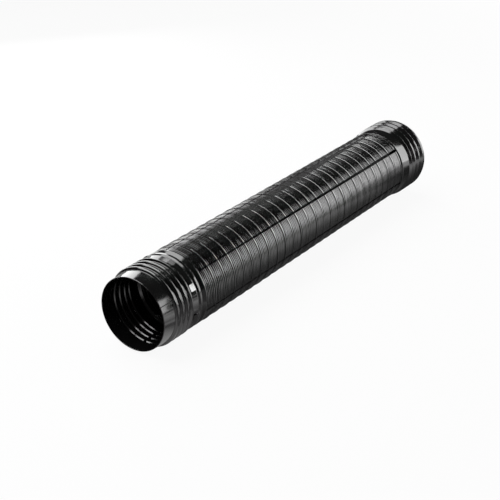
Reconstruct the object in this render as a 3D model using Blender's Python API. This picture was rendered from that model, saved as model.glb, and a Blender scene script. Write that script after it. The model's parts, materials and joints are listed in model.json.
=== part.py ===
# Flexible downspout extension: one black plastic pipe, blown in one piece.
# A plain lip and snap rings are at one end, a wide ribbed collar at the other, and a pleated body between.
# The pipe lies on the ground as it would come to rest, so its axis leans a little.

from itertools import product
from math import atan, cos, degrees, pi, radians, sin, sqrt

import bmesh
import bpy
from mathutils import Matrix, Vector

for old in list(bpy.data.objects):
    bpy.data.objects.remove(old, do_unlink=True)

# Driving dimensions, in metres and degrees. Distances run from the lip's rim towards the collar.
overall_length = 0.683
wall = 0.0010

lip_radius = 0.0508
lip_taper = 0.0008
lip_length = 0.0212

# Heights of the snap rings, their grooves and the lug band stand over the lip's rim.
snap_ring_count = 3
snap_ring_pitch = 0.0100
snap_ring_height = 0.0042
snap_groove_height = 0.0019
snap_ring_rise = 0.0016
snap_ring_crest = 0.0048
bead_crest = 0.0022

lug_band_height = 0.0022
lug_band_length = 0.0128
lug_count = 8
lug_first_angle = 28.2
lug_length = 0.0085
lug_width = 0.0096
lug_height = 0.0014
lug_draft = 0.0005

flange_rise = 0.0016
flange_crest = 0.0036
neck_depth = 0.0026
neck_fall = 0.0018
neck_length = 0.0088

pleat_radius = 0.0543
pleat_depth = 0.0040
pleat_pitch = 0.0132
pleat_steep_share = 0.16

seam_count = 6
seam_first_angle = 42.5
seam_width = 0.0040
seam_depth = 0.0009
plain_columns_between_seams = 2

# The end ring and the sleeve stand over the pleats.
end_ring_height = 0.0010
end_ring_crest = 0.0022
end_ring_slope = 0.0012
sleeve_height = 0.0005
sleeve_taper = 0.0012
sleeve_length = 0.0152

collar_radius = 0.0586
collar_flare = 0.0065
rib_count = 4
rib_pitch = 0.0132
rib_groove_width = 0.0040
rib_groove_depth = 0.0024
last_rib_length = 0.0054

cutter_overrun = 0.004

# Radii and distances that follow from the driving dimensions
lip_root_radius = lip_radius + lip_taper
snap_ring_radius = lip_radius + snap_ring_height
snap_groove_radius = lip_radius + snap_groove_height
lug_band_radius = lip_radius + lug_band_height
neck_radius = pleat_radius - neck_depth
end_ring_radius = pleat_radius + end_ring_height
sleeve_radius = pleat_radius + sleeve_height

bead_start = lip_length + snap_ring_count * snap_ring_pitch
lug_band_start = bead_start + 2 * snap_ring_rise + bead_crest
lug_band_end = lug_band_start + lug_band_length
neck_start = lug_band_end + flange_rise + flange_crest
pleats_start = neck_start + neck_fall + neck_length
collar_start = overall_length - (rib_count - 1) * rib_pitch - last_rib_length
sleeve_start = collar_start - collar_flare - sleeve_length
pleats_end = sleeve_start - end_ring_crest - 2 * end_ring_slope


def near_end_profile():
    """Lip, snap rings, bead, lug band, flange and neck, as (distance, radius)."""
    points = [(0.0, lip_radius)]
    for number in range(snap_ring_count):
        foot = lip_length + number * snap_ring_pitch
        crest = foot + snap_ring_rise
        fall = crest + snap_ring_crest
        points.append((foot, lip_root_radius if number == 0 else snap_groove_radius))
        points.append((crest, snap_ring_radius))
        points.append((fall, snap_ring_radius))
        points.append((fall + snap_ring_rise, snap_groove_radius))
    points.append((bead_start, snap_groove_radius))
    points.append((bead_start + snap_ring_rise, snap_ring_radius))
    points.append((bead_start + snap_ring_rise + bead_crest, snap_ring_radius))
    points.append((lug_band_start, lug_band_radius))
    points.append((lug_band_end, lug_band_radius))
    points.append((lug_band_end + flange_rise, pleat_radius))
    points.append((neck_start, pleat_radius))
    points.append((neck_start + neck_fall, neck_radius))
    return points


def pleat_profile():
    """Leaning pleats: a steep flank faces the lip and a long flank falls away from it."""
    length = pleats_end - pleats_start
    count = max(1, round(length / pleat_pitch))
    pitch = length / count
    points = []
    for number in range(count):
        crest = pleats_start + number * pitch
        points.append((crest, pleat_radius))
        points.append((crest + pitch * (1 - pleat_steep_share), pleat_radius - pleat_depth))
    return points


def far_end_profile():
    """End ring, sleeve, flare and the collar's ribs, with a narrow groove after each rib but the last."""
    ring_start = pleats_end + end_ring_slope
    points = [(ring_start, end_ring_radius), (ring_start + end_ring_crest, end_ring_radius)]
    points.append((sleeve_start, sleeve_radius))
    points.append((sleeve_start + sleeve_length, sleeve_radius + sleeve_taper))
    points.append((collar_start, collar_radius))
    for number in range(1, rib_count):
        groove_end = collar_start + number * rib_pitch
        points.append((groove_end - rib_groove_width, collar_radius))
        points.append((groove_end - rib_groove_width / 2, collar_radius - rib_groove_depth))
        points.append((groove_end, collar_radius))
    points.append((overall_length, collar_radius))
    return points


def inward_offset(points, thickness):
    """The same profile one wall further in, run past both ends for the bore to cut through."""
    flanks = []
    for (start_y, start_r), (end_y, end_r) in zip(points, points[1:]):
        along = Vector((end_y - start_y, end_r - start_r)).normalized()
        flanks.append((Vector((start_y, start_r)) + thickness * Vector((along.y, -along.x)), along))
    inner = []
    for (start, along), (next_start, next_along) in zip(flanks, flanks[1:]):
        step = (next_start - start).cross(next_along) / along.cross(next_along)
        inner.append(tuple(start + along * step))
    first_start, first_along = flanks[0]
    first_y = points[0][0] - cutter_overrun
    first_r = first_start.y + (first_y - first_start.x) * first_along.y / first_along.x
    last_start, last_along = flanks[-1]
    last_y = points[-1][0] + cutter_overrun
    last_r = last_start.y + (last_y - last_start.x) * last_along.y / last_along.x
    return [(first_y, first_r)] + inner + [(last_y, last_r)]


def columns(with_seam_edges):
    """Angles round the pipe, each with a mark that says whether a seam's bottom runs along it."""
    sector = 360.0 / seam_count
    half_seam = degrees(seam_width / 2 / pleat_radius)
    spacing = sector / (plain_columns_between_seams + 1)
    angles = []
    for number in range(seam_count):
        seam = seam_first_angle + number * sector
        if with_seam_edges:
            angles.append((seam - half_seam, False))
        angles.append((seam, True))
        if with_seam_edges:
            angles.append((seam + half_seam, False))
        for plain in range(plain_columns_between_seams):
            angles.append((seam + (plain + 1) * spacing, False))
    return angles


def polygon_growth(angles):
    """How far corners lie outside the true circle for the polygon to have the circle's area."""
    turns = [angle for angle, is_seam in angles]
    steps = [after - before for before, after in zip(turns, turns[1:] + [turns[0] + 360.0])]
    return sqrt(2 * pi / sum(sin(radians(step)) for step in steps))


def on_pipe(reach, turn, distance, across=0.0):
    """A point at a reach from the axis, with the middle of the pipe's length at the origin."""
    x = reach * cos(turn) - across * sin(turn)
    z = reach * sin(turn) + across * cos(turn)
    return (x, distance - overall_length / 2, z)


def turned_solid(name, points, angles):
    """A solid turned from a profile, with the seams pressed into the pleats."""
    growth = polygon_growth(angles)
    form = bmesh.new()
    rings = []
    for distance, radius in points:
        pleated = pleats_start - wall <= distance <= pleats_end
        ring = []
        for angle, is_seam in angles:
            reach = radius * growth - (seam_depth if is_seam and pleated else 0.0)
            ring.append(form.verts.new(on_pipe(reach, radians(angle), distance)))
        rings.append(ring)
    for ring, next_ring in zip(rings, rings[1:]):
        for column in range(len(angles)):
            after = (column + 1) % len(angles)
            form.faces.new((ring[column], next_ring[column], next_ring[after], ring[after]))
    form.faces.new(rings[0])
    form.faces.new(rings[-1])
    return finished_object(name, form)


def lug_blocks(name, shrink):
    """Square blocks with drafted sides, set round the lug band. Their feet are deep inside the pipe."""
    form = bmesh.new()
    foot_reach = lug_band_radius / 2
    top_reach = lug_band_radius + lug_height - shrink
    middle = (lug_band_start + lug_band_end) / 2
    for number in range(lug_count):
        turn = radians(lug_first_angle + number * 360.0 / lug_count)
        for corner in bmesh.ops.create_cube(form, size=1.0)["verts"]:
            is_top = corner.co.z > 0
            inset = shrink + (lug_draft if is_top else 0.0)
            across = corner.co.x * (lug_width - 2 * inset)
            distance = middle + corner.co.y * (lug_length - 2 * inset)
            corner.co = on_pipe(top_reach if is_top else foot_reach, turn, distance, across)
    return finished_object(name, form)


def finished_object(name, form):
    bmesh.ops.recalc_face_normals(form, faces=form.faces)
    mesh = bpy.data.meshes.new(name)
    form.to_mesh(mesh)
    form.free()
    made = bpy.data.objects.new(name, mesh)
    bpy.context.scene.collection.objects.link(made)
    return made


def cut_or_join(target, operation, other):
    """Cuts or joins another form, which stays hidden under the target."""
    step = target.modifiers.new(other.name, "BOOLEAN")
    step.operation = operation
    step.solver = "EXACT"
    step.object = other
    other.parent = target
    other.hide_render = True
    other.display_type = "WIRE"


def black_plastic():
    material = bpy.data.materials.new("black_plastic")
    material.use_nodes = True
    shader = material.node_tree.nodes["Principled BSDF"]
    shader.inputs["Base Color"].default_value = (0.010, 0.010, 0.011, 1.0)
    shader.inputs["Roughness"].default_value = 0.22
    shader.inputs["Metallic"].default_value = 0.0
    return material


def resting_matrix(points):
    """Lays the pipe on the two crests, one each side of its middle, that touch the ground first."""
    middle = overall_length / 2
    near_points = [point for point in points if point[0] < middle]
    far_points = [point for point in points if point[0] >= middle]

    def reach_under_middle(pair):
        (near_y, near_r), (far_y, far_r) = pair
        return near_r + (far_r - near_r) * (middle - near_y) / (far_y - near_y)

    pair = max(product(near_points, far_points), key=reach_under_middle)
    (near_y, near_r), (far_y, far_r) = pair
    tilt = atan((far_r - near_r) / (far_y - near_y))
    height = reach_under_middle(pair) * cos(tilt)
    return Matrix.Translation((0, 0, height)) @ Matrix.Rotation(tilt, 4, "X")


def build_pipe():
    outer = near_end_profile() + pleat_profile() + far_end_profile()
    pipe = turned_solid("bellows_pipe", outer, columns(True))
    bore = turned_solid("bore", inward_offset(outer, wall), columns(False))
    cut_or_join(bore, "UNION", lug_blocks("lug_pockets", wall))
    cut_or_join(pipe, "UNION", lug_blocks("lugs", 0.0))
    cut_or_join(pipe, "DIFFERENCE", bore)
    pipe.data.materials.append(black_plastic())
    pipe.data.shade_smooth()
    pipe.data.set_sharp_from_angle(angle=radians(35))
    pipe.matrix_world = resting_matrix(outer)


build_pipe()
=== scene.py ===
import json
import math

import bpy
import numpy as np
from mathutils import Matrix, Vector


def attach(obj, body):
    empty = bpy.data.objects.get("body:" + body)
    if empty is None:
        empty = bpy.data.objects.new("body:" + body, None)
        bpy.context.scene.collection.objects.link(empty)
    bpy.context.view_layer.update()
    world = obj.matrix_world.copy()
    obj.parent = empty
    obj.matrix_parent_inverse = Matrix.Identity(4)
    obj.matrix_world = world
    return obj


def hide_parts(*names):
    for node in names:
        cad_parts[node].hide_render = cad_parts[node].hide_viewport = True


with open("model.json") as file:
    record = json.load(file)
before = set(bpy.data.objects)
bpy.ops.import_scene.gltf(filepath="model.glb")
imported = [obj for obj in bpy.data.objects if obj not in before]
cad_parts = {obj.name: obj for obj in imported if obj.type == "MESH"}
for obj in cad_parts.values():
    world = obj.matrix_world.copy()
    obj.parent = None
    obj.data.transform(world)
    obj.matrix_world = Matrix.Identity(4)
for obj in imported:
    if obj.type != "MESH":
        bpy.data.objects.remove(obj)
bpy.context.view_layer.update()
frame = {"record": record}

# Sizes are in metres and degrees. Distances run along the pipe from the lip's rim towards the collar,
# and angles go round it from its right side over the top.
pipe = {
    "length": 0.683,
    "wall": 0.0010,
    "columns": 96,            # flat strips round the plain parts
    "columnRoom": 0.35,       # the share of a strip that stays free beside a closer column
    "plainTurn": 4.0,         # corners that turn less than this get no fillet
    "filletShare": 0.96,      # how much of a flank the fillets at its ends may take
    "leastRound": 0.0002,     # the smallest fillet inside
    "sharpAngle": 50.0,       # edges that turn more than this are shaded as edges
}


def offsetInward(corners, thickness):
    # the same profile one wall further in, with its first and last distances kept
    flanks = []
    for (startY, startR, _), (endY, endR, _) in zip(corners, corners[1:]):
        along = Vector((endY - startY, endR - startR)).normalized()
        flanks.append((Vector((startY, startR)) + thickness * Vector((along.y, -along.x)), along))
    inner = [(corners[0][0], flanks[0][0].y, corners[0][2])]
    for (start, along), (nextStart, nextAlong), corner in zip(flanks, flanks[1:], corners[1:]):
        turn = along.cross(nextAlong)
        point = start + along * (nextStart - start).cross(nextAlong) / turn
        fillet = corner[2] + (thickness if turn > 0 else -thickness)
        inner.append((point.x, point.y, max(fillet, pipe["leastRound"])))
    lastStart, lastAlong = flanks[-1]
    end = corners[-1][0]
    inner.append((end, lastStart.y + (end - lastStart.x) * lastAlong.y / lastAlong.x, 0.0))
    return inner


def roundCorners(corners, steps):
    # each corner (distance, radius, fillet) becomes an arc that keeps within its two flanks
    points = [corners[0][:2]]
    for before, corner, after in zip(corners, corners[1:], corners[2:]):
        here = Vector(corner[:2])
        back = Vector(before[:2]) - here
        ahead = Vector(after[:2]) - here
        turn = math.pi - back.angle(ahead)
        if corner[2] <= 0 or turn < math.radians(pipe["plainTurn"]):
            points.append(corner[:2])
            continue
        backShare = pipe["filletShare"] * corner[2] / (corner[2] + before[2])
        aheadShare = pipe["filletShare"] * corner[2] / (corner[2] + after[2])
        reach = min(corner[2] * math.tan(turn / 2), backShare * back.length, aheadShare * ahead.length)
        bend = reach / math.tan(turn / 2)
        middle = (back.normalized() + ahead.normalized()).normalized()
        centre = here + middle * math.hypot(bend, reach)
        first = here + back.normalized() * reach - centre
        last = here + ahead.normalized() * reach - centre
        for step in range(steps + 1):
            points.append(tuple(centre + first.lerp(last, step / steps).normalized() * bend))
    points.append(corners[-1][:2])
    return points


def evenAngles(row):
    return [row["firstAngle"] + number * 360.0 / row["count"] for number in range(row["count"])]


def angleGap(angles, centre):
    return (np.asarray(angles) - centre + 180.0) % 360.0 - 180.0


def nearestGap(angles, centres):
    return np.min([np.abs(angleGap(angles, centre)) for centre in centres], axis=0)


def spreadFromArc(length, radius):
    return math.degrees(length / radius)


def between(ends, share):
    return ends[0] + share * (ends[1] - ends[0])


def columnAngles(marks):
    # even columns round the pipe, with closer ones over each mark (centre, half widths)
    strip = 360.0 / pipe["columns"]
    close = []
    for centre, halves in marks:
        close.append(centre)
        for half in halves:
            close += [centre - half, centre + half]
    close = np.array(close) % 360.0
    even = np.arange(pipe["columns"]) * strip
    kept = [angle for angle in even if nearestGap(angle, close) > strip * pipe["columnRoom"]]
    return np.unique(np.concatenate([kept, close]))


def tubePiece(name, outer, inner, angles, press=None, move=None):
    # a closed tube: out along the outer skin, back along the inner one
    profile = np.array(list(outer) + list(reversed(inner)))
    distance = np.repeat(profile[:, :1], len(angles), axis=1)
    radius = np.repeat(profile[:, 1:], len(angles), axis=1)
    around = np.broadcast_to(angles, radius.shape)
    if move is not None:
        around = move(distance, around)
    if press is not None:
        isOuter = np.arange(len(profile)) < len(outer)
        radius = press(distance, radius, around, isOuter[:, None])
    turns = np.radians(around)
    points = np.empty(radius.shape + (3,))
    points[..., 0] = radius * np.cos(turns)
    points[..., 1] = distance - pipe["length"] / 2
    points[..., 2] = radius * np.sin(turns)
    placed = np.array(pipePlace)
    points = points @ placed[:3, :3].T + placed[:3, 3]
    rings, count = radius.shape
    ring = np.arange(rings)[:, None]
    column = np.arange(count)[None, :]
    nextRing = (ring + 1) % rings
    nextColumn = (column + 1) % count
    quads = np.stack([
        ring * count + column, nextRing * count + column,
        nextRing * count + nextColumn, ring * count + nextColumn,
    ], axis=-1).reshape(-1, 4)
    mesh = bpy.data.meshes.new(name)
    mesh.vertices.add(rings * count)
    mesh.vertices.foreach_set("co", points.reshape(-1))
    mesh.loops.add(quads.size)
    mesh.loops.foreach_set("vertex_index", quads.reshape(-1).astype(np.int32))
    mesh.polygons.add(len(quads))
    mesh.polygons.foreach_set("loop_start", np.arange(0, quads.size, 4, dtype=np.int32))
    mesh.update(calc_edges=True)
    mesh.validate()
    mesh.shade_smooth()
    mesh.set_sharp_from_angle(angle=math.radians(pipe["sharpAngle"]))
    made = bpy.data.objects.new(name, mesh)
    bpy.context.scene.collection.objects.link(made)
    print(name, "has", 2 * len(quads), "triangles")
    return made


nearEnd = {
    "lipRadius": 0.0508,
    "lipTaper": 0.0008,
    "lipLength": 0.0212,
    "rimRound": 0.0003,
    "rimFlat": 0.0009,        # a second line of points behind the rim keeps its shading narrow
    "ringCount": 3,
    "ringPitch": 0.0100,
    "ringHeight": 0.00418,    # ring, groove and band heights stand over the lip's rim
    "grooveHeight": 0.0010,
    "ringRise": 0.0016,
    "ringCrest": 0.0034,
    "ringRound": 0.0026,      # fillet radius on the rings' crests
    "beadCrest": 0.0022,
    "bandHeight": (0.0014, 0.0032),   # the lug band widens towards the pleats
    "bandLength": 0.0128,
    "bandGroove": 0.0030,     # between the band and the flange
    "grooveFloor": (0.7, 0.2),   # where its floor starts and ends, as shares left of its length
    "flangeRise": 0.0016,
    "flangeCrest": 0.0036,
    "flangeRound": 0.0010,
    "neckDepth": 0.0036,
    "neckFall": 0.0020,
    "neckFlat": 0.0012,
    "neckLength": 0.0086,
    "lastRing": 0.0022,       # the smooth ring before the first pleat
    "lastRingRise": 0.0002,
    "lastRingEdge": 0.0004,
    "innerLead": 0.0010,      # the inner skin bends this far before the rings and behind the band's start
    "innerDepth": 0.0012,     # of the rings' grooves inside
    "innerSides": (0.0004, 0.0012),
    "innerRound": 0.0003,
    "innerBreak": (0.9, 1.6),    # the grooves stop this many degrees beside the lowest parting line
    "innerFall": (0.0018, 0.0010),   # from the neck down to the pleats' valleys, before the first pleat
    "edgeRound": 0.0006,
    "filletSteps": 4,
}

lugs = {
    "count": 8,
    "firstAngle": 28.2,
    "length": 0.0085,
    "width": 0.0096,
    "setBack": 0.0050,        # from the band's start to a lug's middle
    "heights": (0.0016, 0.0014),   # over the band, at the lip side and at the other
    "flatness": 0.5,          # 0 follows the band's curve, 1 is a flat face
    "sideSlope": 0.0003,
}

# fine lines where the mould's parts meet
partingLines = {
    "firstAngle": 27.0,
    "count": 3,
    "width": 0.0008,
    "depth": 0.0003,
}

ringStart = nearEnd["lipLength"]
beadStart = ringStart + nearEnd["ringCount"] * nearEnd["ringPitch"]
bandStart = beadStart + 2 * nearEnd["ringRise"] + nearEnd["beadCrest"]
bandEnd = bandStart + nearEnd["bandLength"]
neckStart = bandEnd + nearEnd["flangeRise"] + nearEnd["flangeCrest"]
pleatsStart = neckStart + nearEnd["neckFall"] + nearEnd["neckLength"]

lugMiddle = bandStart + lugs["setBack"]
lugRadius = nearEnd["lipRadius"] + float(
    np.interp(lugMiddle, (bandStart, bandEnd - nearEnd["bandGroove"]), nearEnd["bandHeight"]))
lugHalfWidth = spreadFromArc(lugs["width"] / 2, lugRadius)
lugSlope = spreadFromArc(lugs["sideSlope"], lugRadius)


def nearCorners():
    sizes = nearEnd
    lip = sizes["lipRadius"]
    groove = lip + sizes["grooveHeight"]
    ring = lip + sizes["ringHeight"]
    lowBand, highBand = (lip + height for height in sizes["bandHeight"])
    edge, flange, crest = sizes["edgeRound"], sizes["flangeRound"], sizes["ringRound"]
    corners = [
        (0.0, lip - sizes["rimRound"], 0.0),
        (sizes["rimRound"], lip, 0.0),
        (sizes["rimFlat"], lip, 0.0),
    ]
    for number in range(sizes["ringCount"]):
        foot = ringStart + number * sizes["ringPitch"]
        top = foot + sizes["ringRise"]
        fall = top + sizes["ringCrest"]
        corners += [
            (foot, groove if number else lip + sizes["lipTaper"], edge),
            (top, ring, crest),
            (fall, ring, crest),
            (fall + sizes["ringRise"], groove, edge),
        ]
    beadTop = beadStart + sizes["ringRise"]
    floorStart, floorEnd = (bandEnd - sizes["bandGroove"] * share for share in sizes["grooveFloor"])
    neckFoot = neckStart + sizes["neckFall"]
    neck = pleats["radius"] - sizes["neckDepth"]
    corners += [
        (beadStart, groove, edge),
        (beadTop, ring, flange),
        (beadTop + sizes["beadCrest"], ring, flange),
        (bandStart, lowBand, edge),
        (bandEnd - sizes["bandGroove"], highBand, edge),
        (floorStart, lowBand, edge / 2),
        (floorEnd, lowBand, edge / 2),
        (bandEnd + sizes["flangeRise"], pleats["radius"], flange),
        (neckStart, pleats["radius"], flange),
        (neckFoot, neck, edge),
        (neckFoot + sizes["neckFlat"], neck, edge),
        (pleatsStart - sizes["lastRing"], pleats["radius"] + sizes["lastRingRise"], edge),
        (pleatsStart - sizes["lastRingEdge"], pleats["radius"], sizes["lastRingEdge"]),
        (pleatsStart, pleats["radius"] - pleats["depth"], 0.0),
    ]
    return corners


def nearInnerCorners():
    # inside, each ring is a shallow groove with steep, crisp sides
    sizes = nearEnd
    lip = sizes["lipRadius"] - pipe["wall"]
    land = lip + sizes["grooveHeight"]
    groove = land + sizes["innerDepth"]
    nearSide, farSide = sizes["innerSides"]
    edge, crisp = sizes["edgeRound"], sizes["innerRound"]
    corners = [
        (0.0, lip + sizes["rimRound"], 0.0),
        (sizes["rimRound"], lip, 0.0),
        (sizes["rimFlat"], lip, 0.0),
        (ringStart - sizes["innerLead"], lip + sizes["lipTaper"], crisp),
    ]
    for number in range(sizes["ringCount"] + 1):
        foot = ringStart + number * sizes["ringPitch"] + sizes["ringRise"] / 2
        crest = sizes["ringCrest"] if number < sizes["ringCount"] else sizes["beadCrest"]
        end = foot + sizes["ringRise"] + crest
        corners += [
            (foot, land if number else lip + sizes["lipTaper"], crisp),
            (foot + nearSide, groove, crisp),
            (end - farSide, groove, crisp),
            (end, land, crisp),
        ]
    band = lip + sizes["bandHeight"][0]
    body = pleats["radius"] - pipe["wall"]
    neckFoot = neckStart + sizes["neckFall"]
    neck = body - sizes["neckDepth"]
    fallStart, fallEnd = (pleatsStart - before for before in sizes["innerFall"])
    valley = pleats["radius"] - pleats["depth"] - pleats["wall"]
    corners += [
        (bandStart + sizes["innerLead"], band, edge),
        (bandEnd, band, edge),
        (bandEnd + sizes["flangeRise"], body, edge),
        (neckStart, body, edge),
        (neckFoot, neck, edge),
        (neckFoot + sizes["neckFlat"], neck, edge),
        (fallStart, body, sizes["lastRingEdge"]),
        (fallEnd, valley, sizes["lastRingEdge"]),
        (pleatsStart, valley, 0.0),
    ]
    return corners


def lugShape(distance, angles):
    # how far the lugs stand over the band, 0 away from them
    along = (distance - lugMiddle) / lugs["length"] + 0.5
    nearest = nearestGap(angles, evenAngles(lugs))
    across = np.clip((lugHalfWidth - nearest) / lugSlope, 0, 1)
    ends = np.clip(np.minimum(along, 1 - along) * lugs["length"] / lugs["sideSlope"], 0, 1)
    flatFace = lugRadius / np.cos(np.radians(np.minimum(nearest, lugHalfWidth))) - lugRadius
    return across * ends * (between(lugs["heights"], along) + flatFace * lugs["flatness"])


def buildNearEnd():
    lugStart = lugMiddle - lugs["length"] / 2
    lugEnd = lugMiddle + lugs["length"] / 2
    stops = [lugStart, lugStart + lugs["sideSlope"], lugMiddle, lugEnd - lugs["sideSlope"], lugEnd]

    def withStops(points):
        # more points on the band's flank, where the lugs start, level out and end
        place = next(i for i, point in enumerate(points) if point[0] > lugStart)
        flank = np.array(points[place - 1:place + 1])
        onFlank = np.interp(stops, flank[:, 0], flank[:, 1])
        return points[:place] + list(zip(stops, onFlank)) + points[place:]

    lines = evenAngles(partingLines)
    lowestLine = lines[-1]
    lineHalf = spreadFromArc(partingLines["width"] / 2, lugRadius)
    marks = [(lowestLine, nearEnd["innerBreak"])]
    marks += [(angle, (lugHalfWidth, lugHalfWidth - lugSlope)) for angle in evenAngles(lugs)]
    marks += [(angle, (lineHalf, 2 * lineHalf)) for angle in lines]

    def press(distance, radius, angles, isOuter):
        # inside, the rings' grooves fill up at the lowest line
        land = nearEnd["lipRadius"] - pipe["wall"] + nearEnd["grooveHeight"]
        openShare = np.interp(np.abs(angleGap(angles, lowestLine)), nearEnd["innerBreak"], (0.0, 1.0))
        inRings = (distance > ringStart) & (distance < bandStart) & ~isOuter
        radius = np.where(inRings, np.minimum(radius, land + (radius - land) * openShare), radius)
        # outside, the parting lines run along the lip
        lineDepth = partingLines["depth"] * np.clip(1 - nearestGap(angles, lines) / lineHalf, 0, 1)
        onLip = (distance < ringStart) & isOuter
        return radius + lugShape(distance, angles) - np.where(onLip, lineDepth, 0.0)

    outer = withStops(roundCorners(nearCorners(), nearEnd["filletSteps"]))
    inner = withStops(roundCorners(nearInnerCorners(), nearEnd["filletSteps"]))
    return tubePiece("lip_and_snap_rings", outer, inner, columnAngles(marks), press)


pleats = {
    "radius": 0.0543,
    "depth": 0.0050,
    "wall": 0.0006,
    "perBlock": 6,            # the mould makes six pleats in each block
    "blockLength": 0.0203,
    "pitchFall": 0.06,        # the first pleats lie a little more open than the last
    "openLength": 0.12,       # how far from the lip end the pleats take to close up
    "landShare": (0.48, 0.86),   # the share of the pitch that a crest takes, at the lip end and further on
    "crown": 0.00003,         # how much higher a crest is in its middle
    "crestRound": (0.0002, 0.0003),   # on a crest's lip side and far side
    "roundAngles": (80, 40),  # how far down a crest's rounding has points
    "ringRound": 0.00045,     # on the last crest's shoulder
    "proud": 0.00065,         # the last crest of a block stands out and falls away in a shoulder
    "shoulder": (0.0012, 0.0017),
    "innerLand": 0.2,         # inside, a fold is level over this share of the pitch to each side
    "innerRise": 0.0035,
    "pitchWander": 0.04,      # small unevenness from block to block and from pleat to pleat
    "heightWander": 0.00007,
    "tiltWander": 0.00006,
    "seeds": (7, 21),         # of the blocks' and the pleats' unevenness
    "sections": 3,            # separate meshes, to keep each one light
}

seams = {
    "count": 6,
    "firstAngle": 42.5,
    "width": (0.0022, 0.0046),   # at the lip end and at the collar end
    "depth": 0.0056,
    "shape": ((0.0, 0.5, 0.99), (1.0, 0.75, 0.05)),   # share of the half width, share of the depth
    "edge": 0.995,            # the share of the half width at which the notch ends
    "columns": (0.5, 1.0),    # where a seam has columns of points, as shares of its half width
    "columnReach": 1.01,      # and how far out they spread with it
}


def alongPleats(distance):
    return (distance - pleatsStart) / (pleatsEnd - pleatsStart)


def pleatCrests():
    # the middle and pitch of each pleat, and whether it closes a mould block
    length = pleatsEnd - pleatsStart
    blocks = round(length / pleats["blockLength"])
    rng = np.random.default_rng(pleats["seeds"][0])
    share = 1.0 + pleats["pitchWander"] * rng.standard_normal(blocks)
    share += pleats["pitchFall"] * np.exp(-np.arange(blocks) * pleats["blockLength"] / pleats["openLength"])
    edges = pleatsStart + length * np.concatenate([[0], np.cumsum(share) / share.sum()])
    crests = []
    for start, end in zip(edges, edges[1:]):
        shoulder = between(pleats["shoulder"], alongPleats(end))
        pitch = (end - start - shoulder) / pleats["perBlock"]
        for number in range(pleats["perBlock"]):
            crests.append((start + (number + 0.5) * pitch, pitch, number == pleats["perBlock"] - 1))
    return crests


def pleatProfile(crest, rng):
    # one pleat's outer and inner points, from its valley on the lip side to its far edge
    centre, pitch, closesBlock = crest
    closedness = 1 - math.exp(-(centre - pleatsStart) / pleats["openLength"])
    half = pitch * between(pleats["landShare"], closedness) / 2
    top = pleats["radius"] + pleats["heightWander"] * rng.standard_normal()
    tilt = pleats["tiltWander"] * rng.standard_normal()
    valley = pleats["radius"] - pleats["depth"]
    fillet, farFillet = pleats["crestRound"]
    far = half
    drop = pleats["crown"]
    if closesBlock:
        farFillet = pleats["ringRound"]
        top += pleats["proud"]
        far += between(pleats["shoulder"], alongPleats(centre))
        drop += pleats["proud"]
    lipLevel = top - pleats["crown"] - tilt
    farLevel = top + tilt - drop

    def rounding(radius, swing):
        # how far in from the crest's side, and how far down
        angle = math.radians(swing)
        return radius * (1 - math.sin(angle)), radius * (1 - math.cos(angle))

    outer = [(centre - pitch / 2, valley)]
    for swing in pleats["roundAngles"]:
        inset, down = rounding(fillet, swing)
        outer.append((centre - half + inset, lipLevel - down))
    outer += [(centre - half + fillet, lipLevel), (centre, top), (centre + far - farFillet, farLevel)]
    for swing in reversed(pleats["roundAngles"]):
        inset, down = rounding(farFillet, swing)
        outer.append((centre + far - inset, farLevel - down))
    innerValley = valley - pleats["wall"]
    inner = [
        (centre - pitch / 2, innerValley),
        (centre - pitch * pleats["innerLand"], innerValley + pleats["innerRise"]),
        (centre + pitch * pleats["innerLand"], innerValley + pleats["innerRise"]),
    ]
    return outer, inner


def buildPleats():
    crests = pleatCrests()
    rng = np.random.default_rng(pleats["seeds"][1])
    profiles = [pleatProfile(crest, rng) for crest in crests]
    seamAngles = evenAngles(seams)
    halfWidths = [spreadFromArc(width / 2, pleats["radius"]) for width in seams["width"]]
    middleHalf = sum(halfWidths) / 2
    marks = [(angle, [middleHalf * share for share in seams["columns"]]) for angle in seamAngles]

    def move(distance, angles):
        # the columns at a seam spread as it widens
        for angle in seamAngles:
            gap = angleGap(angles, angle)
            spread = angle + gap * between(halfWidths, alongPleats(distance)) / middleHalf
            angles = np.where(np.abs(gap) < middleHalf * seams["columnReach"], spread, angles)
        return angles

    def press(distance, radius, angles, isOuter):
        # a seam is a steep notch across the folds, down below their valleys
        part = nearestGap(angles, seamAngles) / between(halfWidths, alongPleats(distance))
        notch = pleats["radius"] - seams["depth"] * np.interp(part, *seams["shape"])
        notch = np.where(part < seams["edge"], notch, np.inf)
        return np.minimum(radius, np.where(isOuter, notch, notch - pleats["wall"]))

    made = []
    valley = pleats["radius"] - pleats["depth"]
    perSection = math.ceil(len(crests) / pleats["sections"])
    for section in range(pleats["sections"]):
        first = section * perSection
        last = min(first + perSection, len(crests))
        end = crests[last][0] - crests[last][1] / 2 if last < len(crests) else pleatsEnd
        outer = [point for profile in profiles[first:last] for point in profile[0]] + [(end, valley)]
        inner = [point for profile in profiles[first:last] for point in profile[1]]
        inner.append((end, valley - pleats["wall"]))
        made.append(tubePiece(f"pleats_{section + 1}", outer, inner, columnAngles(marks), press, move))
    return made


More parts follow.
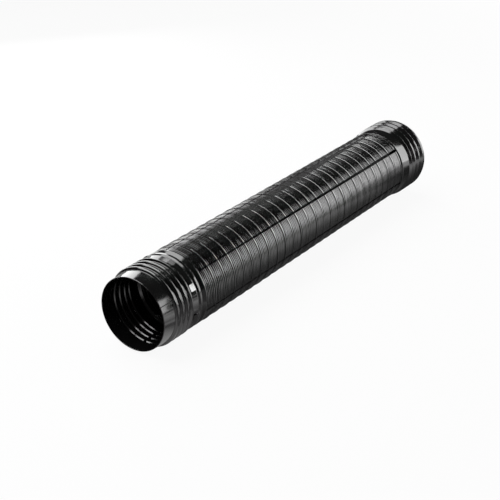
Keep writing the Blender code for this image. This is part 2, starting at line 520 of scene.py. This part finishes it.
farEnd = {
    "endRingHeight": 0.0010,  # the ring behind the last pleat
    "endRingCrest": 0.0022,
    "endRingSlope": 0.0012,
    "sleeveHeight": 0.0005,
    "sleeveTaper": 0.0006,
    "sleeveLength": 0.0152,
    "flare": 0.0065,
    "flareFlat": 0.0028,      # the flare's steep part starts this much later
    "flareRound": 0.0012,
    "restRadius": 0.0586,     # the collar's radius where it rests on the ground
    "radius": 0.05865,        # before the crests are rounded
    "ribCount": 4,
    "ribPitch": 0.0132,
    "ribDepth": 0.0040,
    "ribDrop": 0.0050,        # behind its crest a rib drops, then rises to the next one's nearly flat land
    "ribLand": 0.0024,
    "ribSlope": 0.0004,       # how much the land still rises
    "ribRound": 0.0009,
    "ribLag": 0.0013,         # a crest stands this much behind the rib's start
    "lastRib": 0.0054,
    "rimFall": 0.0018,        # how soon the last rib has come down to the rim
    "rimDrops": (0.0014, 0.0013),   # how much lower it is there and at the rim itself
    "edgeRound": 0.0009,
    "filletSteps": 5,
}

collarStart = pipe["length"] - (farEnd["ribCount"] - 1) * farEnd["ribPitch"] - farEnd["lastRib"]
sleeveStart = collarStart - farEnd["flare"] - farEnd["sleeveLength"]
pleatsEnd = sleeveStart - farEnd["endRingCrest"] - 2 * farEnd["endRingSlope"]


def farCorners():
    sizes = farEnd
    edge, rib = sizes["edgeRound"], sizes["ribRound"]
    ringFoot = pleatsEnd + sizes["endRingSlope"]
    ring = pleats["radius"] + sizes["endRingHeight"]
    sleeve = pleats["radius"] + sizes["sleeveHeight"]
    flareStart = sleeveStart + sizes["sleeveLength"] + sizes["flareFlat"]
    fallEnd, rimEnd = (sizes["radius"] - drop for drop in sizes["rimDrops"])
    corners = [
        (pleatsEnd, pleats["radius"] - pleats["depth"], 0.0),
        (ringFoot, ring, edge),
        (ringFoot + sizes["endRingCrest"], ring, edge),
        (sleeveStart, sleeve, edge),
        (flareStart, sleeve + sizes["sleeveTaper"], sizes["flareRound"]),
    ]
    for number in range(sizes["ribCount"]):
        crest = collarStart + sizes["ribLag"] + number * sizes["ribPitch"]
        corners.append((crest, sizes["radius"], rib))
        if number < sizes["ribCount"] - 1:
            landStart = crest + sizes["ribPitch"] - sizes["ribLand"]
            corners.append((crest + sizes["ribDrop"], sizes["radius"] - sizes["ribDepth"], rib))
            corners.append((landStart, sizes["radius"] - sizes["ribSlope"], rib))
    corners += [(crest + sizes["rimFall"], fallEnd, edge), (pipe["length"], rimEnd, 0.0)]
    return corners


def buildFarEnd():
    corners = farCorners()
    inner = offsetInward(corners, pipe["wall"])
    inner[0] = (pleatsEnd, corners[0][1] - pleats["wall"], 0.0)
    lineHalf = spreadFromArc(partingLines["width"] / 2, farEnd["radius"])
    columns = columnAngles([(angle, (lineHalf,)) for angle in evenAngles(partingLines)])
    outerPoints = roundCorners(corners, farEnd["filletSteps"])
    innerPoints = roundCorners(inner, farEnd["filletSteps"])
    return tubePiece("sleeve_and_collar", outerPoints, innerPoints, columns)


# The pipe's axis leans as the frame says, and the collar's first rib touches the ground.
collarMount = next(mount for mount in frame["record"]["mounts"] if mount["name"] == "collar_rim")
lean = math.asin(collarMount["axis"][2])
middleHeight = farEnd["restRadius"] * math.cos(lean) - (collarStart - pipe["length"] / 2) * math.sin(lean)
pipePlace = Matrix.Translation((0, 0, middleHeight)) @ Matrix.Rotation(lean, 4, "X")


plastic = {
    "tone": (0.0025, 0.006),
    "roughness": (0.10, 0.17),
    "wear": (0.12, 0.42),     # the range of the mixed clouds and streaks that the roughness follows
    "ior": 1.5,
    "specular": 0.9,
    # scale, detail and stretch of the three patterns
    "clouds": (60.0, 4.0, (1.0, 1.0, 1.0)),
    "streaks": (420.0, 3.0, (1.0, 0.12, 1.0)),   # finely drawn along the pipe
    "grain": (1600.0, 2.0, (1.0, 1.0, 1.0)),
    "streakDeep": 0.000004,
    "grainDeep": 0.0000015,
}


def blackPlastic():
    # glossy black polyethylene with a fine grain and faint drawn streaks
    material = bpy.data.materials.new("blackPlastic")
    material.use_nodes = True
    tree = material.node_tree
    shader = tree.nodes["Principled BSDF"]
    shader.inputs["Metallic"].default_value = 0.0
    shader.inputs["IOR"].default_value = plastic["ior"]
    shader.inputs["Specular IOR Level"].default_value = plastic["specular"]
    place = tree.nodes.new("ShaderNodeTexCoord")

    def noise(scale, detail, stretch):
        mapped = tree.nodes.new("ShaderNodeMapping")
        mapped.inputs["Scale"].default_value = stretch
        tree.links.new(place.outputs["Object"], mapped.inputs["Vector"])
        node = tree.nodes.new("ShaderNodeTexNoise")
        node.inputs["Scale"].default_value = scale
        node.inputs["Detail"].default_value = detail
        tree.links.new(mapped.outputs[0], node.inputs["Vector"])
        return node.outputs["Fac"]

    clouds = noise(*plastic["clouds"])
    streaks = noise(*plastic["streaks"])
    grain = noise(*plastic["grain"])
    tone = tree.nodes.new("ShaderNodeMix")
    tone.data_type = "RGBA"
    for socket, grey in zip((tone.inputs[6], tone.inputs[7]), plastic["tone"]):
        socket.default_value = (grey, grey, grey, 1.0)
    tree.links.new(clouds, tone.inputs[0])
    tree.links.new(tone.outputs[2], shader.inputs["Base Color"])
    worn = tree.nodes.new("ShaderNodeMath")
    worn.operation = "MULTIPLY"
    tree.links.new(clouds, worn.inputs[0])
    tree.links.new(streaks, worn.inputs[1])
    gloss = tree.nodes.new("ShaderNodeMapRange")
    gloss.inputs["From Min"].default_value, gloss.inputs["From Max"].default_value = plastic["wear"]
    gloss.inputs["To Min"].default_value, gloss.inputs["To Max"].default_value = plastic["roughness"]
    tree.links.new(worn.outputs[0], gloss.inputs["Value"])
    tree.links.new(gloss.outputs["Result"], shader.inputs["Roughness"])
    grainBump = tree.nodes.new("ShaderNodeBump")
    streakBump = tree.nodes.new("ShaderNodeBump")
    for bump, height, deep in ((grainBump, grain, "grainDeep"), (streakBump, streaks, "streakDeep")):
        bump.inputs["Strength"].default_value = 1.0
        bump.inputs["Distance"].default_value = plastic[deep]
        tree.links.new(height, bump.inputs["Height"])
    tree.links.new(grainBump.outputs["Normal"], streakBump.inputs["Normal"])
    tree.links.new(streakBump.outputs["Normal"], shader.inputs["Normal"])
    return material


floorSet = {
    "half": 8.0,
    "grey": 0.6,
    "glow": 0.93,             # how much of the floor's white in the picture is its own
    "paintedShade": 0.14,              # painted shade: how light the floor is in reflections beside the pipe, standing in for the pipe's shadow there
    # painted shade and painted pools of light: other levels in reflections on parts of the floor, each with
    # its bounds (axis, starts, full)
    "paintedLevels": (
        (0.55, ("X", -0.10, -0.30)),
        (1.5, ("X", 0.06, 0.26)),
        (0.14, ("X", 0.27, 0.36), ("Y", -0.05, -0.18)),
        (0.14, ("X", 0.48, 0.60), ("Y", 0.56, 0.42)),
        (0.06, ("X", 0.30, 0.18), ("Y", 0.28, 0.38)),
        (0.25, ("X", 0.125, 0.155), ("Y", -0.235, -0.26)),
        (1.1, ("X", 0.103, 0.115), ("X", 0.145, 0.125), ("Y", -0.228, -0.243), ("Y", -0.270, -0.258)),
        (0.80, ("X", 0.0, 0.06), ("X", 0.105, 0.085), ("Y", -0.265, -0.30)),
    ),
}


def buildFloor():
    half = floorSet["half"]
    corners = [(-half, -half, 0), (half, -half, 0), (half, half, 0), (-half, half, 0)]
    mesh = bpy.data.meshes.new("floor")
    mesh.from_pydata(corners, [], [(0, 1, 2, 3)])
    floor = bpy.data.objects.new("floor", mesh)
    bpy.context.scene.collection.objects.link(floor)
    material = bpy.data.materials.new("paleFloor")
    material.use_nodes = True
    tree = material.node_tree
    shader = tree.nodes["Principled BSDF"]
    shader.inputs["Base Color"].default_value = (floorSet["grey"], floorSet["grey"], floorSet["grey"], 1.0)
    shader.inputs["Roughness"].default_value = 1.0
    shader.inputs["Specular IOR Level"].default_value = 0.0
    rays = tree.nodes.new("ShaderNodeLightPath")
    place = tree.nodes.new("ShaderNodeNewGeometry")
    apart = tree.nodes.new("ShaderNodeSeparateXYZ")
    tree.links.new(place.outputs["Position"], apart.inputs[0])

    def feed(sockets, values):
        for socket, value in zip(sockets, values):
            if isinstance(value, float):
                socket.default_value = value
            else:
                tree.links.new(value, socket)

    def calculate(operation, first, second):
        node = tree.nodes.new("ShaderNodeMath")
        node.operation = operation
        feed(node.inputs, (first, second))
        return node.outputs[0]

    def mixValues(share, first, second):
        node = tree.nodes.new("ShaderNodeMix")
        feed((node.inputs[0], node.inputs[2], node.inputs[3]), (share, first, second))
        return node.outputs[0]

    def ramp(axis, starts, full):
        node = tree.nodes.new("ShaderNodeMapRange")
        node.interpolation_type = "SMOOTHSTEP"
        node.inputs["From Min"].default_value = starts
        node.inputs["From Max"].default_value = full
        tree.links.new(apart.outputs[axis], node.inputs["Value"])
        return node.outputs["Result"]

    # painted shade and light in reflections: the floor glows dim beside the pipe as a painted shadow, and
    # lighter further off and below the lip as painted pools of light
    paintedGlow = floorSet["paintedShade"]
    for level, first, *others in floorSet["paintedLevels"]:
        mask = ramp(*first)
        for bound in others:
            mask = calculate("MULTIPLY", mask, ramp(*bound))
        paintedGlow = mixValues(mask, paintedGlow, level)
    strength = mixValues(rays.outputs["Is Camera Ray"], paintedGlow, 1.0)
    mirrored = calculate("MAXIMUM", rays.outputs["Is Glossy Ray"], rays.outputs["Is Transmission Ray"])
    inView = calculate("MULTIPLY", rays.outputs["Is Camera Ray"], floorSet["glow"])
    glow = tree.nodes.new("ShaderNodeEmission")
    tree.links.new(strength, glow.inputs["Strength"])
    mix = tree.nodes.new("ShaderNodeMixShader")
    tree.links.new(calculate("MAXIMUM", mirrored, inView), mix.inputs[0])
    tree.links.new(shader.outputs[0], mix.inputs[1])
    tree.links.new(glow.outputs[0], mix.inputs[2])
    tree.links.new(mix.outputs[0], tree.nodes["Material Output"].inputs["Surface"])
    mesh.materials.append(material)


lights = {
    "worldGrey": 0.03,        # what the room gives the object
    "panels": {
        # name: (centre, direction of its width, looks at, width, height, brightness)
        "rightPanel": ((1.46, 1.24, 0.53), (0.62, -0.78, 0.0), (0.0, 0.0, 0.40), 0.78, 1.06, 3.7),
        "rightLamp": ((1.78, 0.55, 0.61), (0.42, -0.91, 0.0), (0.0, 0.0, 0.06), 0.25, 0.42, 14.0),
        "backRightPanel": ((0.79, 1.83, 0.52), (0.92, -0.40, 0.0), (0.0, 0.0, 0.40), 1.24, 1.00, 4.2),
        "backPanel": ((-0.42, 2.15, 0.31), (1.0, 0.05, 0.0), (0.0, 0.0, 0.25), 1.28, 0.62, 5.0),
        "leftPanel": ((-1.22, 0.41, 0.58), (0.57, 0.82, 0.0), (0.0, -0.3, 0.30), 1.10, 0.94, 4.6),
        "topPanel": ((-0.65, -0.50, 1.45), (0.0, 1.0, 0.0), (0.0, -0.2, 0.05), 2.1, 1.3, 4.6),
        "mouthPanel": ((0.17, -1.24, 1.42), (0.0, 1.0, 0.0), (0.0, -0.34, 0.05), 0.7, 0.34, 3.4),
    },
}


def addPanel(name, centre, across, target, width, height, brightness):
    lamp = bpy.data.lights.new(name, "AREA")
    lamp.shape = "RECTANGLE"
    lamp.size = width
    lamp.size_y = height
    lamp.energy = brightness * math.pi * width * height
    made = bpy.data.objects.new(name, lamp)
    bpy.context.scene.collection.objects.link(made)
    side = Vector(across).normalized()
    facing = Vector(target) - Vector(centre)
    back = -(facing - side * facing.dot(side)).normalized()
    turned = Matrix((side, back.cross(side), back)).transposed().to_4x4()
    made.matrix_world = Matrix.Translation(centre) @ turned


def buildLights():
    # the room is white in the picture and dark for the object
    world = bpy.data.worlds.new("studio")
    bpy.context.scene.world = world
    world.use_nodes = True
    tree = world.node_tree
    rays = tree.nodes.new("ShaderNodeLightPath")
    level = tree.nodes.new("ShaderNodeMath")
    level.operation = "MAXIMUM"
    level.inputs[1].default_value = lights["worldGrey"]
    tree.links.new(rays.outputs["Is Camera Ray"], level.inputs[0])
    tree.nodes["Background"].inputs["Color"].default_value = (1.0, 1.0, 1.0, 1.0)
    tree.links.new(level.outputs[0], tree.nodes["Background"].inputs["Strength"])
    for name, panel in lights["panels"].items():
        addPanel(name, *panel)


# The camera stands off the middle of the lip's rim, in the pipe's own directions.
cameraSet = {
    "offset": (0.86255, -0.99711, 0.71258),
    "azimuth": 34.4727,
    "elevation": 25.4428,
    "lens": 86.006,
    "sensor": 36.0,
    "clip": (0.05, 60.0),
}


def buildCamera():
    camera = bpy.data.cameras.new("photoCamera")
    camera.lens = cameraSet["lens"]
    camera.sensor_width = cameraSet["sensor"]
    camera.clip_start, camera.clip_end = cameraSet["clip"]
    made = bpy.data.objects.new("photoCamera", camera)
    bpy.context.scene.collection.objects.link(made)
    turn = math.radians(cameraSet["azimuth"])
    rise = math.radians(cameraSet["elevation"])
    ahead = Vector((-math.sin(turn) * math.cos(rise), math.cos(turn) * math.cos(rise), -math.sin(rise)))
    place = Vector(cameraSet["offset"]) - Vector((0, pipe["length"] / 2, 0))
    turned = ahead.to_track_quat("-Z", "Y").to_matrix().to_4x4()
    made.matrix_world = pipePlace @ Matrix.Translation(place) @ turned
    bpy.context.scene.camera = made


bpy.context.scene.view_settings.view_transform = "Standard"
buildCamera()
print("camera placed")
pieces = [buildNearEnd()] + buildPleats() + [buildFarEnd()]
skin = blackPlastic()
for piece in pieces:
    piece.data.materials.append(skin)
    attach(piece, "root")
    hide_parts("bellows_pipe")
print("pipe dressed")
buildFloor()
buildLights()
print("floor and lights placed")
